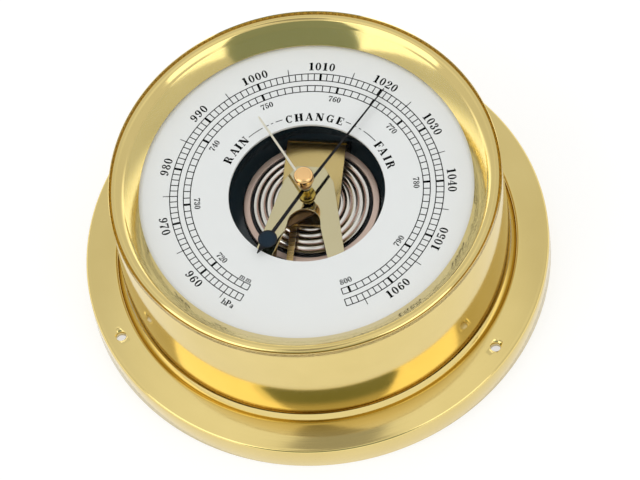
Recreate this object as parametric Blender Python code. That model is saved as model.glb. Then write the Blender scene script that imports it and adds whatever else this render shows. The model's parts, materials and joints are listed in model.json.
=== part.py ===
"""Aneroid barometer in a brass drum case with a mounting flange.

The frame: origin in the middle of the flange's underside, +Z towards the glass, +Y towards 12 o'clock.
Every length below is in millimetres and becomes metres when a mesh is made.
"""
import math

import bmesh
import bpy
from mathutils import Matrix, Vector

MM = 0.001
GAP = 0.3                      # running and seating gap between neighbouring pieces

# Case
FLANGE_RADIUS = 75.0
FLANGE_HEIGHT = 9.3
FLANGE_HOLE_RADIUS = 1.7
FLANGE_HOLE_CIRCLE = 69.8
FLANGE_HOLE_CLOCK = (-1.2, 118.8, 238.8)
DRUM_RADIUS = 63.0
DRUM_BORE = 61.5
DRUM_BOTTOM = 1.5
DRUM_TOP = 50.0
BEZEL_TOP = 52.6
GLASS_RADIUS = 60.0
GLASS_EDGE_BOTTOM = 49.3
GLASS_RISE = 2.2
GLASS_THICKNESS = 1.5
GLASS_FLAT_FROM = 57.8
SEAT_INNER = 56.5

# Dial
DIAL_TOP = 45.08
DIAL_THICKNESS = 1.0
DIAL_RADIUS = 60.9
DIAL_HOLE = 25.15

# Movement
BASE_RADIUS = 48.0
BASE_LOW = 8.5
BASE_TOP = 11.0
COVER_LOW = 1.8
COVER_TOP = 3.0
VENT = (0.0, -25.0)            # hole in the back cover that lets the air in
VENT_RADIUS = 4.0
PLATE_LOW = 42.5
PLATE_TOP = 43.5
CAPSULE_Y = 3.5
CAPSULE_MIDDLE = 30.55
CAPSULE_SHEET = 0.5
BOSS_RISE = 1.8                # of the diaphragm's flat middle above its trough
POST_LOW = 33.6                # leaves room over the boss for the capsule's travel
STRAP_HALF_WIDTH = 9.5
STRAP_LOW = 35.6
STRAP_THICKNESS = 0.9
STRAP_END_Y = -7.0
STRAP_OUTER_Y = 27.0
STRAP_BEND = 6.2
PILLAR = (15.6, -36.8)
LEVER_X = -4.4
LINK = (-4.9, -27.0)
ROCKER_X = -9.9
ROCKER_Z = 18.0

# Gearing: the sector turns a pinion on the pointer's arbor, seven to one
MODULE = 0.35
PINION_TEETH = 10
SECTOR_TEETH = 70
SECTOR_PIVOT = (-8.6, -11.05)
SECTOR_LOW = 41.2
SECTOR_TOP = 41.8
PRESSURE_ANGLE = math.radians(20.0)
TOOTH_FILL = 0.34              # a tooth's share of the pitch, small for generous backlash

# Hands
POINTER_CLOCK = 28.85
POINTER_TIP = 43.8
SET_HAND_CLOCK = 324.3
SET_HAND_TIP = 30.5
ARBOR_RADIUS = 0.5
SHAFT_RADIUS = 0.9
KNOB_RADIUS = 3.15

ROUND = 48                     # segments of the case's rings
MEDIUM = 32                    # segments of the capsule and the plates
SMALL = 12                     # segments of pins and small turned pieces
SCREW_SIDES = 10


def material(name, colour, roughness, metallic):
    """A Principled material with a base colour, a roughness and a metallic value."""
    made = bpy.data.materials.new(name)
    made.use_nodes = True
    shader = made.node_tree.nodes["Principled BSDF"]
    shader.inputs["Base Color"].default_value = (*colour, 1.0)
    shader.inputs["Roughness"].default_value = roughness
    shader.inputs["Metallic"].default_value = metallic
    made.diffuse_color = (*colour, 1.0)
    return made


def clock_point(radius, clock):
    """The x and y of a point at a radius, with its angle clockwise from 12 o'clock in degrees."""
    angle = math.radians(clock)
    return radius * math.sin(angle), radius * math.cos(angle)


def arc(centre, radius, start, end, steps):
    """Points along an arc, angles in degrees anticlockwise from +X, both ends included."""
    points = []
    for step in range(steps + 1):
        angle = math.radians(start + (end - start) * step / steps)
        points.append((centre[0] + radius * math.cos(angle), centre[1] + radius * math.sin(angle)))
    return points


def add_turned(mesh, profile, segments=SMALL, centre=(0.0, 0.0)):
    """Add a closed (radius, height) profile turned about a vertical axis; radius 0 is on the axis."""
    rings = []
    for radius, height in profile:
        count = segments if radius > 0.0 else 1
        ring = []
        for step in range(count):
            angle = math.tau * step / segments
            x = centre[0] + radius * math.cos(angle)
            y = centre[1] + radius * math.sin(angle)
            ring.append(mesh.verts.new(Vector((x, y, height)) * MM))
        rings.append(ring)
    for first, second in zip(rings, rings[1:] + rings[:1]):
        flat = first[0].co.z == second[0].co.z
        if flat and 1 in (len(first), len(second)):
            mesh.faces.new(max(first, second, key=len))
            continue
        for step in range(segments):
            after = (step + 1) % segments
            corners = [first[step % len(first)], first[after % len(first)],
                       second[after % len(second)], second[step % len(second)]]
            corners = list(dict.fromkeys(corners))
            if len(corners) > 2:
                mesh.faces.new(corners)
    unused = [vert for vert in mesh.verts if not vert.link_faces]
    bmesh.ops.delete(mesh, geom=unused, context="VERTS")


def add_prism(mesh, outline, low, high, axis="Z"):
    """Add an outline extruded along an axis; its points are (x, y), (y, z) or (x, z)."""
    def place(first, second, along):
        if axis == "X":
            return Vector((along, first, second)) * MM
        if axis == "Y":
            return Vector((first, along, second)) * MM
        return Vector((first, second, along)) * MM

    bottom = [mesh.verts.new(place(first, second, low)) for first, second in outline]
    top = [mesh.verts.new(place(first, second, high)) for first, second in outline]
    mesh.faces.new(bottom)
    mesh.faces.new(top)
    for step in range(len(outline)):
        after = (step + 1) % len(outline)
        mesh.faces.new([bottom[step], bottom[after], top[after], top[step]])


def add_box(mesh, low, high):
    """Add an upright box between two corners."""
    outline = [(low[0], low[1]), (high[0], low[1]), (high[0], high[1]), (low[0], high[1])]
    add_prism(mesh, outline, low[2], high[2])


def add_rod(mesh, radius, start, end, segments=SMALL):
    """Add a cylinder between two points."""
    start = Vector(start) * MM
    end = Vector(end) * MM
    along = end - start
    turn = along.to_track_quat("Z", "Y").to_matrix().to_4x4()
    matrix = Matrix.Translation((start + end) / 2) @ turn
    bmesh.ops.create_cone(mesh, cap_ends=True, segments=segments, radius1=radius * MM,
                          radius2=radius * MM, depth=along.length, matrix=matrix)


def finish(name, mesh, look, pivot=None, sharp=35.0):
    """Turn a bmesh into a smooth-shaded object whose origin is at its pivot, in millimetres."""
    bmesh.ops.recalc_face_normals(mesh, faces=mesh.faces)
    origin = Vector(pivot or (0.0, 0.0, 0.0)) * MM
    bmesh.ops.translate(mesh, verts=mesh.verts, vec=-origin)
    data = bpy.data.meshes.new(name)
    mesh.to_mesh(data)
    mesh.free()
    data.shade_smooth()
    data.set_sharp_from_angle(angle=math.radians(sharp))
    made = bpy.data.objects.new(name, data)
    made.location = origin
    bpy.context.collection.objects.link(made)
    if look:
        data.materials.append(look)
    return made


def helper(mesh, target, operation, name):
    """Join a hidden solid to a target, or cut it away, with an exact Boolean."""
    tool = finish(f"{target.name}_{name}", mesh, None)
    tool.hide_render = True
    tool.display_type = "WIRE"
    modifier = target.modifiers.new(name, "BOOLEAN")
    modifier.operation = operation
    modifier.solver = "EXACT"
    modifier.object = tool


def cut(target, mesh, name="cut"):
    helper(mesh, target, "DIFFERENCE", name)


def join(target, mesh, name="join"):
    helper(mesh, target, "UNION", name)


def turned(name, profile, look, segments=ROUND, centre=(0.0, 0.0), pivot=None, sharp=35.0):
    mesh = bmesh.new()
    add_turned(mesh, profile, segments, centre)
    return finish(name, mesh, look, pivot, sharp)


def ring_profile(inner, outer, low, high):
    """The square section of a ring, or of a disc when the inner radius is 0."""
    return [(inner, high), (outer, high), (outer, low), (inner, low)]


def drill(target, radius, spots, low, high, name="drill"):
    """Cut round vertical holes through a target at a list of (x, y) places."""
    mesh = bmesh.new()
    for spot in spots:
        add_turned(mesh, ring_profile(0.0, radius, low, high), SMALL, spot)
    cut(target, mesh, name)


def screws(name, spots, head_low, head_top, head_radius, shank_radius, shank_end, look):
    """Numbered screws; the shank runs from the head to shank_end, up or down."""
    if shank_end > head_top:
        profile = [(0.0, shank_end), (shank_radius, shank_end), (shank_radius, head_top),
                   (head_radius, head_top), (head_radius, head_low), (0.0, head_low)]
    else:
        profile = [(0.0, head_top), (head_radius, head_top), (head_radius, head_low),
                   (shank_radius, head_low), (shank_radius, shank_end), (0.0, shank_end)]
    copies(name, profile, spots, look, SCREW_SIDES)


def copies(name, profile, spots, look, segments=SMALL):
    """The same turned piece at several places, as numbered objects."""
    for number, spot in enumerate(spots, 1):
        turned(f"{name}_{number}", profile, look, segments, spot)


def ring_spots(radius, clocks):
    return [clock_point(radius, clock) for clock in clocks]


COVER_SCREW_CLOCKS = (60.0, 180.0, 300.0)
COVER_SCREW_CIRCLE = 58.7
SPACER_CLOCKS = (30.0, 150.0, 270.0)
SPACER_CIRCLE = 40.0
SCREW_SHANK = 0.9
SCREW_BORE = SCREW_SHANK + GAP


# The case

def make_flange(look):
    """Pressed flange: a crowned top with a groove beside the drum, and the rim that it stands on."""
    edge = FLANGE_RADIUS
    under = FLANGE_HEIGHT - 1.2
    inside = DRUM_RADIUS + GAP
    profile = [(65.2, FLANGE_HEIGHT), (70.0, FLANGE_HEIGHT + 0.3), (edge - 0.9, FLANGE_HEIGHT)]
    profile += [(edge - 0.3, FLANGE_HEIGHT - 0.3), (edge, FLANGE_HEIGHT - 0.9), (edge, under)]
    profile += [(65.2, under), (64.6, 7.0), (inside, 7.0), (inside, 8.0), (64.4, 8.0), (64.7, 8.9)]
    flange = turned("mounting_flange", profile, look, sharp=50.0)
    drill(flange, FLANGE_HOLE_RADIUS, ring_spots(FLANGE_HOLE_CIRCLE, FLANGE_HOLE_CLOCK), 6.0, 12.0)
    turned("flange_rim", ring_profile(edge - 1.2, edge, 0.0, under - GAP), look)


def make_drum(look):
    """Drum tube, with a seat ring soldered in near its foot, which the back cover screws to."""
    turned("case_drum", ring_profile(DRUM_BORE, DRUM_RADIUS, DRUM_BOTTOM, DRUM_TOP), look)
    seat = turned("back_seat_ring", ring_profile(56.0, DRUM_BORE - GAP, 3.3, 4.5), look)
    drill(seat, SCREW_BORE, ring_spots(COVER_SCREW_CIRCLE, COVER_SCREW_CLOCKS), 2.5, 5.5)


def make_bezel(look):
    """Rolled bead flush with the drum, with a short spigot that drops inside it."""
    bead = arc((DRUM_RADIUS - 2.1, BEZEL_TOP - 2.1), 2.1, 90.0, 0.0, 5)
    profile = [(59.5, 52.1), (59.9, 52.45)] + bead + [(DRUM_RADIUS, DRUM_TOP + GAP)]
    profile += [(61.2, DRUM_TOP + GAP), (61.2, 49.0), (60.3, 49.0), (60.3, 51.1), (58.4, 51.1)]
    turned("bezel_ring", profile, look, sharp=50.0)


def make_sight_ring(look):
    """Conical ring between the dial and the glass."""
    top = GLASS_EDGE_BOTTOM - GAP
    low = DIAL_TOP + GAP
    profile = [(56.3, top), (GLASS_RADIUS, top), (GLASS_RADIUS, low), (53.5, low), (53.5, 46.2)]
    turned("sight_ring", profile, look)


def glass_underside(radius):
    return GLASS_EDGE_BOTTOM + GLASS_RISE * max(0.0, 1.0 - (radius / GLASS_FLAT_FROM) ** 2)


def make_crystal(look):
    """Domed glass with a flat rim and a hole in the middle for the set hand's shaft."""
    radii = [1.3, 17.0, 34.0, 48.0, GLASS_FLAT_FROM, GLASS_RADIUS]
    top = [(radius, glass_underside(radius) + GLASS_THICKNESS) for radius in radii]
    under = [(radius, glass_underside(radius)) for radius in reversed(radii)]
    turned("crystal", top + under, look, sharp=60.0)


def make_dial(plate_look, seat_look):
    low = DIAL_TOP - DIAL_THICKNESS
    turned("dial_plate", ring_profile(DIAL_HOLE, DIAL_RADIUS, low, DIAL_TOP), plate_look)
    turned("dial_seat_ring", ring_profile(SEAT_INNER, 61.2, 42.4, low - GAP), seat_look)


def make_back(cover_look, screw_look):
    """Vented back cover with its screws, and the adjusting screw that reaches the capsule's stud."""
    cover = turned("back_cover", ring_profile(0.0, 61.2, COVER_LOW, COVER_TOP), cover_look)
    rim = ring_spots(COVER_SCREW_CIRCLE, COVER_SCREW_CLOCKS)
    spacers = ring_spots(SPACER_CIRCLE, SPACER_CLOCKS)
    drill(cover, SCREW_BORE, rim + spacers, 1.0, 4.0)
    drill(cover, 3.3, [(0.0, CAPSULE_Y)], 1.0, 4.0, "middle")
    drill(cover, VENT_RADIUS, [VENT], 1.0, 4.0, "vent")
    screws("back_cover_screw", rim, 0.6, 1.5, 2.0, SCREW_SHANK, 4.3, screw_look)
    screws("movement_screw", spacers, 0.6, 1.5, 2.2, SCREW_SHANK, 10.8, screw_look)
    profile = [(0.0, 13.0), (1.5, 13.0), (1.5, 5.2), (3.0, 5.2), (3.0, 1.0), (0.0, 1.0)]
    adjuster = turned("adjusting_screw", profile, screw_look, SMALL, (0.0, CAPSULE_Y),
                      (0.0, CAPSULE_Y, 1.0))
    slot = bmesh.new()
    add_box(slot, (-3.5, CAPSULE_Y - 0.35, 0.5), (3.5, CAPSULE_Y + 0.35, 2.2))
    cut(adjuster, slot, "slot")


# The movement's frame

def make_base(plate_look, spacer_look):
    """Movement base plate on three spacers above the back cover."""
    base = turned("movement_base", ring_profile(0.0, BASE_RADIUS, BASE_LOW, BASE_TOP), plate_look)
    spacers = ring_spots(SPACER_CIRCLE, SPACER_CLOCKS)
    feet = [(PILLAR[0], PILLAR[1]), (-PILLAR[0], PILLAR[1])]
    drill(base, SCREW_BORE, spacers + feet + BRACKET_SCREWS, 8.0, 12.0)
    drill(base, 1.8, [(0.0, CAPSULE_Y)], 8.0, 12.0, "middle")
    spacer = ring_profile(SCREW_BORE, 2.6, COVER_TOP + GAP, BASE_LOW - GAP)
    copies("base_spacer", spacer, spacers, spacer_look)


def plate_outline():
    """Half of the A-shaped plate's outer edge, mirrored, with the arch between its legs."""
    leg_slope = 0.242
    foot_y = -38.8
    outer = [(8.0, 5.2), (8.0 + leg_slope * (5.2 - foot_y), foot_y)]
    foot_inner = outer[1][0] - 5.6
    right = [(4.5, 10.5), outer[0], outer[1], (foot_inner, foot_y), (9.0, -22.9), (5.6, -12.0)]
    arch = arc((0.0, -10.4), 5.3, 0.0, 180.0, 12)
    left = [(-x, y) for x, y in reversed(right)]
    return right + arch + left


def make_top_plate(plate_look, pillar_look, screw_look):
    """A-shaped top plate that carries the arbors, on two pillars riveted into its feet."""
    mesh = bmesh.new()
    add_prism(mesh, plate_outline(), PLATE_LOW, PLATE_TOP)
    plate = finish("top_plate", mesh, plate_look)
    feet = [(PILLAR[0], PILLAR[1]), (-PILLAR[0], PILLAR[1])]
    drill(plate, 1.5, feet, 42.0, 44.0, "pillar_holes")
    drill(plate, ARBOR_RADIUS + GAP, [(0.0, 0.0)], 42.0, 44.0, "arbor_hole")
    drill(plate, 0.9, [SECTOR_PIVOT], 42.0, 44.0, "staff_hole")
    low = BASE_TOP + GAP
    pillar = [(0.0, PLATE_TOP), (1.2, PLATE_TOP), (1.2, PLATE_LOW - GAP), (2.0, PLATE_LOW - GAP),
              (2.0, low), (SCREW_BORE, low), (SCREW_BORE, 17.0), (0.0, 17.0)]
    copies("plate_pillar", pillar, feet, pillar_look)
    screws("pillar_screw", feet, 7.0, BASE_LOW - GAP, 2.0, SCREW_SHANK, 16.0, screw_look)


BRACKET_SCREWS = [(6.0, 20.0), (-6.0, 20.0), (ROCKER_X, -30.0)]


def make_brackets(brass_look, dark_look, screw_look):
    """The spring's upright bracket and the rocking arbor's U bracket, screwed to the base plate."""
    low = BASE_TOP + GAP
    top = low + 1.0
    back = STRAP_OUTER_Y
    outline = [(17.0, low), (back, low), (back, 30.0), (back - 0.9, 30.0), (back - 0.9, top), (17.0, top)]
    mesh = bmesh.new()
    add_prism(mesh, outline, -STRAP_HALF_WIDTH, STRAP_HALF_WIDTH, "X")
    spring_bracket = finish("spring_bracket", mesh, dark_look)
    drill(spring_bracket, SCREW_BORE, BRACKET_SCREWS[:2], 11.0, 13.0)
    far, near, ear, height = -34.9, -25.1, 0.8, 20.5
    outline = [(far, low), (near, low), (near, height), (near - ear, height), (near - ear, top),
               (far + ear, top), (far + ear, height), (far, height)]
    mesh = bmesh.new()
    add_prism(mesh, outline, ROCKER_X - 2.1, ROCKER_X + 2.1, "X")
    rocker_bracket = finish("rocker_bracket", mesh, brass_look)
    drill(rocker_bracket, SCREW_BORE, BRACKET_SCREWS[2:], 11.0, 13.0)
    mesh = bmesh.new()
    add_rod(mesh, 1.1, (ROCKER_X, far - 1.0, ROCKER_Z), (ROCKER_X, near + 1.0, ROCKER_Z))
    cut(rocker_bracket, mesh, "bearings")
    screws("bracket_screw", BRACKET_SCREWS, top + GAP, top + 1.3, 1.7, SCREW_SHANK, 8.8, screw_look)


def make_surround(look):
    """Round moulded wall with a shelf about the capsule, notched for the spring and the lever."""
    low = BASE_TOP + GAP
    profile = [(22.4, 30.5), (26.9, 30.5), (26.9, 33.5), (28.4, 33.5), (28.4, low), (26.9, low),
               (26.9, 29.5), (22.4, 29.5)]
    wall = turned("capsule_surround", profile, look, MEDIUM, (0.0, CAPSULE_Y))
    mesh = bmesh.new()
    add_box(mesh, (LEVER_X - 2.5, -30.0, 32.0), (LEVER_X + 2.5, -10.0, 40.0))
    cut(wall, mesh, "lever_notch")
    mesh = bmesh.new()
    add_box(mesh, (-10.3, 15.0, 15.5), (10.3, 28.0, 32.0))
    cut(wall, mesh, "spring_notch")


def make_cocks(look, screw_look):
    """Small bridges under the top plate: the lower bearings of the arbor and of the sector's staff."""
    mesh = bmesh.new()
    add_box(mesh, (-2.5, -2.0, 38.8), (2.5, 9.0, 39.5))
    arbor_cock = finish("arbor_cock", mesh, look)
    mesh = bmesh.new()
    add_turned(mesh, ring_profile(0.0, 1.4, 39.0, PLATE_LOW - GAP), SMALL, (0.0, 7.4))
    join(arbor_cock, mesh, "post")
    drill(arbor_cock, ARBOR_RADIUS + GAP, [(0.0, 0.0)], 38.0, 40.0)
    pivot_x, pivot_y = SECTOR_PIVOT
    mesh = bmesh.new()
    add_box(mesh, (pivot_x - 3.4, pivot_y - 1.3, 38.8), (pivot_x + 1.5, pivot_y + 1.3, 39.5))
    staff_cock = finish("staff_cock", mesh, look)
    mesh = bmesh.new()
    add_turned(mesh, ring_profile(0.0, 0.7, 39.0, PLATE_LOW - GAP), 12, (pivot_x - 2.7, pivot_y))
    join(staff_cock, mesh, "post")
    drill(staff_cock, 0.9, [SECTOR_PIVOT], 38.0, 40.0)


# The capsule and what it drives

def diaphragm_rise(radius):
    """Height of a diaphragm's outer face above its trough, with rings that fade into a flat boss."""
    if radius >= 18.9:
        return 0.0
    if radius <= 5.0:
        return BOSS_RISE
    across = (18.9 - radius) / (18.9 - 5.0)
    return 1.1 + 0.6 * across + 0.28 * math.cos(math.tau * 3.0 * across)


def diaphragm_profile(side):
    """A thin corrugated disc above (side 1) or below (side -1) the capsule's middle."""
    trough = CAPSULE_MIDDLE + side * (0.15 + CAPSULE_SHEET)
    radii = [20.1, 18.9, 18.2] + [18.2 - 2.2 * step for step in range(1, 7)] + [0.0]
    outer = [(radius, trough + side * diaphragm_rise(radius)) for radius in radii]
    inner = [(radius, height - side * CAPSULE_SHEET) for radius, height in reversed(outer)]
    return outer + inner


def make_capsule(copper_look, silver_look, stud_look):
    middle = (0.0, CAPSULE_Y)
    rim = [(20.6, 32.0), (21.6, 32.0), (21.9, 31.7), (21.9, 29.4), (21.6, 29.1), (20.4, 29.1),
           (20.4, 31.8)]
    turned("capsule_rim", rim, copper_look, MEDIUM, middle)
    pivot = (0.0, CAPSULE_Y, CAPSULE_MIDDLE)
    turned("capsule_lower", diaphragm_profile(-1), silver_look, MEDIUM, middle, sharp=60.0)
    turned("capsule_upper", diaphragm_profile(1), silver_look, MEDIUM, middle, pivot, sharp=60.0)
    low = BASE_TOP + GAP
    top = CAPSULE_MIDDLE - 0.15 - CAPSULE_SHEET - BOSS_RISE - GAP
    stud = [(0.0, top), (4.0, top), (4.0, top - 1.0), (2.4, top - 1.0), (2.4, low), (1.8, low),
            (1.8, 16.0), (0.0, 16.0)]
    turned("capsule_stud", stud, stud_look, SMALL, middle)
    low = POST_LOW
    top = STRAP_LOW - GAP
    post = [(0.0, top), (1.5, top), (1.5, low + 0.6), (2.8, low + 0.6), (2.8, low), (0.0, low)]
    turned("capsule_post", post, stud_look, SMALL, middle, (0.0, CAPSULE_Y, low))


SPRING_PIVOT = (0.0, STRAP_OUTER_Y - 0.45, 30.3)
RIVETS = [(LEVER_X, -1.0), (LEVER_X, 1.5)]


def make_spring(strap_look, lever_look):
    """Flat mainspring leaf bent down at its back, with the main lever riveted under it."""
    top = STRAP_LOW + STRAP_THICKNESS
    bend = (STRAP_OUTER_Y - STRAP_BEND, top - STRAP_BEND)
    outline = [(STRAP_END_Y, STRAP_LOW), (STRAP_END_Y, top)]
    outline += arc(bend, STRAP_BEND, 90.0, 0.0, 8)
    outline += arc(bend, STRAP_BEND - STRAP_THICKNESS, 0.0, 90.0, 8)
    mesh = bmesh.new()
    add_prism(mesh, outline, -STRAP_HALF_WIDTH, STRAP_HALF_WIDTH, "X")
    strap = finish("spring_bridge", mesh, strap_look, SPRING_PIVOT)
    drill(strap, 0.7, RIVETS, 35.0, 37.0)
    lever_low = STRAP_LOW - GAP - 1.0
    mesh = bmesh.new()
    add_box(mesh, (LEVER_X - 1.05, -28.0, lever_low), (LEVER_X + 1.05, 2.6, lever_low + 1.0))
    lever = finish("main_lever", mesh, lever_look, SPRING_PIVOT)
    drill(lever, 0.7, RIVETS, 34.0, 36.0)
    screws("lever_rivet", RIVETS, top + GAP, top + 0.8, 1.1, 0.4, lever_low + 0.1, lever_look)
    mesh = bmesh.new()
    add_rod(mesh, 0.35, (*LINK, 19.0), (*LINK, lever_low - GAP), 10)
    finish("link_rod", mesh, lever_look, SPRING_PIVOT)


def make_rocker(look):
    """Rocking arbor: a lengthwise shaft with a crank under the link and a paddle beside the sector."""
    mesh = bmesh.new()
    add_rod(mesh, 0.8, (ROCKER_X, -35.6, ROCKER_Z), (ROCKER_X, -24.6, ROCKER_Z))
    rocker = finish("rocking_arbor", mesh, look, (ROCKER_X, -30.0, ROCKER_Z))
    mesh = bmesh.new()
    add_box(mesh, (ROCKER_X - 1.0, -27.6, ROCKER_Z - 0.5), (ROCKER_X + 5.6, -26.4, ROCKER_Z + 0.5))
    join(rocker, mesh, "crank")
    paddle = [(-30.5, ROCKER_Z - 0.9), (-29.0, ROCKER_Z - 0.9), (-29.0, 36.0), (-26.6, 36.0),
              (-26.6, 40.8), (-30.5, 40.8)]
    mesh = bmesh.new()
    add_prism(mesh, paddle, ROCKER_X - 0.4, ROCKER_X + 0.4, "X")
    join(rocker, mesh, "paddle")


# The gearing

def involute(angle):
    return math.tan(angle) - angle


def tooth(teeth, centre_angle):
    """One tooth's outline as (radius, angle) points, root to root, on a gear of so many teeth."""
    pitch = MODULE * teeth / 2.0
    base = pitch * math.cos(PRESSURE_ANGLE)
    tip = pitch + 0.8 * MODULE
    root = pitch - 1.15 * MODULE
    half_at_pitch = math.pi * TOOTH_FILL / teeth
    flank = []
    for radius in (root, pitch, tip):
        pressure = math.acos(min(1.0, base / radius))
        half = half_at_pitch + involute(PRESSURE_ANGLE) - involute(pressure)
        flank.append((radius, half))
    left = [(radius, centre_angle - half) for radius, half in flank]
    right = [(radius, centre_angle + half) for radius, half in reversed(flank)]
    return left + right


def polar(centre, points):
    return [(centre[0] + radius * math.cos(angle), centre[1] + radius * math.sin(angle))
            for radius, angle in points]


def make_pinion(look):
    """Ten leaves; one gap faces the sector's tooth on the line of centres."""
    facing = math.atan2(SECTOR_PIVOT[1], SECTOR_PIVOT[0])
    outline = []
    for index in range(PINION_TEETH):
        outline += tooth(PINION_TEETH, facing + math.tau * (index + 0.5) / PINION_TEETH)
    mesh = bmesh.new()
    add_prism(mesh, polar((0.0, 0.0), outline), 41.0, PLATE_LOW - GAP)
    pinion = finish("pinion", mesh, look)
    drill(pinion, ARBOR_RADIUS + GAP, [(0.0, 0.0)], 40.0, 43.0)


def make_sector(sector_look, staff_look):
    """Toothed sector on its staff, with a tail whose drop pin leans on the rocking paddle."""
    pivot_x, pivot_y = SECTOR_PIVOT
    facing = math.atan2(-pivot_y, -pivot_x)
    step = math.tau / SECTOR_TEETH
    outline = []
    for index in range(-5, 8):
        outline += tooth(SECTOR_TEETH, facing + step * index)
    fan = polar(SECTOR_PIVOT, outline)
    hub = arc(SECTOR_PIVOT, 1.7, 130.0, 250.0, 6)
    tail = [(-9.7, -29.2), (-9.4, -30.0), (-8.4, -30.0), (-8.1, -29.2), (pivot_x + 1.0, pivot_y - 1.4)]
    mesh = bmesh.new()
    add_prism(mesh, fan + hub + tail, SECTOR_LOW, SECTOR_TOP)
    sector = finish("sector_gear", mesh, sector_look, (pivot_x, pivot_y, SECTOR_LOW))
    drill(sector, 0.9, [SECTOR_PIVOT], 40.0, 43.0)
    mesh = bmesh.new()
    add_rod(mesh, 0.4, (-8.8, -29.5, 38.5), (-8.8, -29.5, 41.5), 10)
    join(sector, mesh, "drop_pin")
    turned("sector_staff", ring_profile(0.0, 0.6, 38.5, 43.4), staff_look, SMALL, SECTOR_PIVOT,
           (pivot_x, pivot_y, SECTOR_LOW))


def make_hairspring(spring_look, stud_look):
    """Flat spiral about the arbor, and the stud that holds its outer end."""
    turns = 3.0
    steps = int(20 * turns)
    outer_end = math.radians(50.0)
    inner = []
    outer = []
    for step in range(steps + 1):
        angle = outer_end - math.tau * turns * (1.0 - step / steps)
        radius = 1.3 + 3.0 * step / steps
        inner.append((radius, angle))
        outer.append((radius + 0.2, angle))
    mesh = bmesh.new()
    add_prism(mesh, polar((0.0, 0.0), inner + outer[::-1]), 40.1, 40.5)
    finish("hairspring", mesh, spring_look)
    stud = (5.3 * math.cos(outer_end), 5.3 * math.sin(outer_end))
    turned("hairspring_stud", ring_profile(0.0, 0.5, 39.9, PLATE_LOW - GAP), stud_look, 12, stud)


# The hands

def tilt_prism(name, outline, clock, height_at, thickness, look):
    """A thin hand: points are (along, across) from the axis, and height_at gives its underside."""
    angle = math.radians(90.0 - clock)
    mesh = bmesh.new()
    layers = []
    for lift in (0.0, thickness):
        layer = []
        for along, across in outline:
            x = along * math.cos(angle) - across * math.sin(angle)
            y = along * math.sin(angle) + across * math.cos(angle)
            layer.append(mesh.verts.new(Vector((x, y, height_at(along) + lift)) * MM))
        layers.append(layer)
    low, high = layers
    count = len(outline)
    mesh.faces.new(low)
    mesh.faces.new(high)
    for step in range(count):
        after = (step + 1) % count
        mesh.faces.new([low[step], low[after], high[after], high[step]])
    bmesh.ops.triangulate(mesh, faces=mesh.faces)
    return finish(name, mesh, look)


def pointer_height(along):
    """The pointer droops from its hub towards its tip and towards its counterweight."""
    return 48.5 - 0.034 * max(along, 0.0) + 0.06 * min(along, 0.0)


def make_pointer(blued_look, brass_look, steel_look):
    """Blued pointer with a disc counterweight on its tail, its collet, and its long arbor."""
    disc = arc((-21.5, 0.0), 2.7, 15.0, 165.0, 8)
    upper = [(POINTER_TIP, 0.12), (2.6, 0.42)] + arc((0.0, 0.0), 2.7, 20.0, 160.0, 8)
    upper += [(-2.6, 0.42)] + disc + [(-27.4, 0.12)]
    outline = upper + [(along, -across) for along, across in reversed(upper)]
    pointer = tilt_prism("pointer", outline, POINTER_CLOCK, pointer_height, 0.3, blued_look)
    drill(pointer, ARBOR_RADIUS + GAP, [(0.0, 0.0)], 47.0, 50.0)
    collet = [(0.8, 48.1), (2.7, 48.1), (2.7, 46.7), (1.3, 46.7), (1.3, 44.0), (0.8, 44.0)]
    turned("pointer_collet", collet, brass_look, 24)
    turned("pointer_cap", [(0.0, 49.8), (0.9, 49.8), (1.2, 49.5), (1.2, 49.1), (0.0, 49.1)],
           brass_look, SMALL)
    turned("pointer_arbor", ring_profile(0.0, ARBOR_RADIUS, 38.3, 48.8), steel_look, SMALL)


def set_hand_height(along):
    return 50.3 - 0.042 * abs(along)


def make_set_hand(hand_look, knob_look):
    """Hand under the glass on a shaft through its hole, turned by the knob on top."""
    upper = [(SET_HAND_TIP, 0.1), (2.1, 0.5)] + arc((0.0, 0.0), 2.2, 20.0, 160.0, 8)
    outline = upper + [(along, -across) for along, across in reversed(upper)]
    hand = tilt_prism("set_hand", outline, SET_HAND_CLOCK, set_hand_height, 0.35, hand_look)
    drill(hand, SHAFT_RADIUS + GAP, [(0.0, 0.0)], 49.0, 52.0)
    turned("set_shaft", ring_profile(0.0, SHAFT_RADIUS, 50.2, 56.0), knob_look, SMALL)
    bore = SHAFT_RADIUS + GAP
    edge = KNOB_RADIUS
    knob = [(0.0, 57.1), (edge - 0.3, 57.1), (edge, 56.8), (edge, 53.6), (edge - 0.3, 53.3),
            (bore, 53.3), (bore, 56.3), (0.0, 56.3)]
    turned("set_knob", knob, knob_look, 24)


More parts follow.
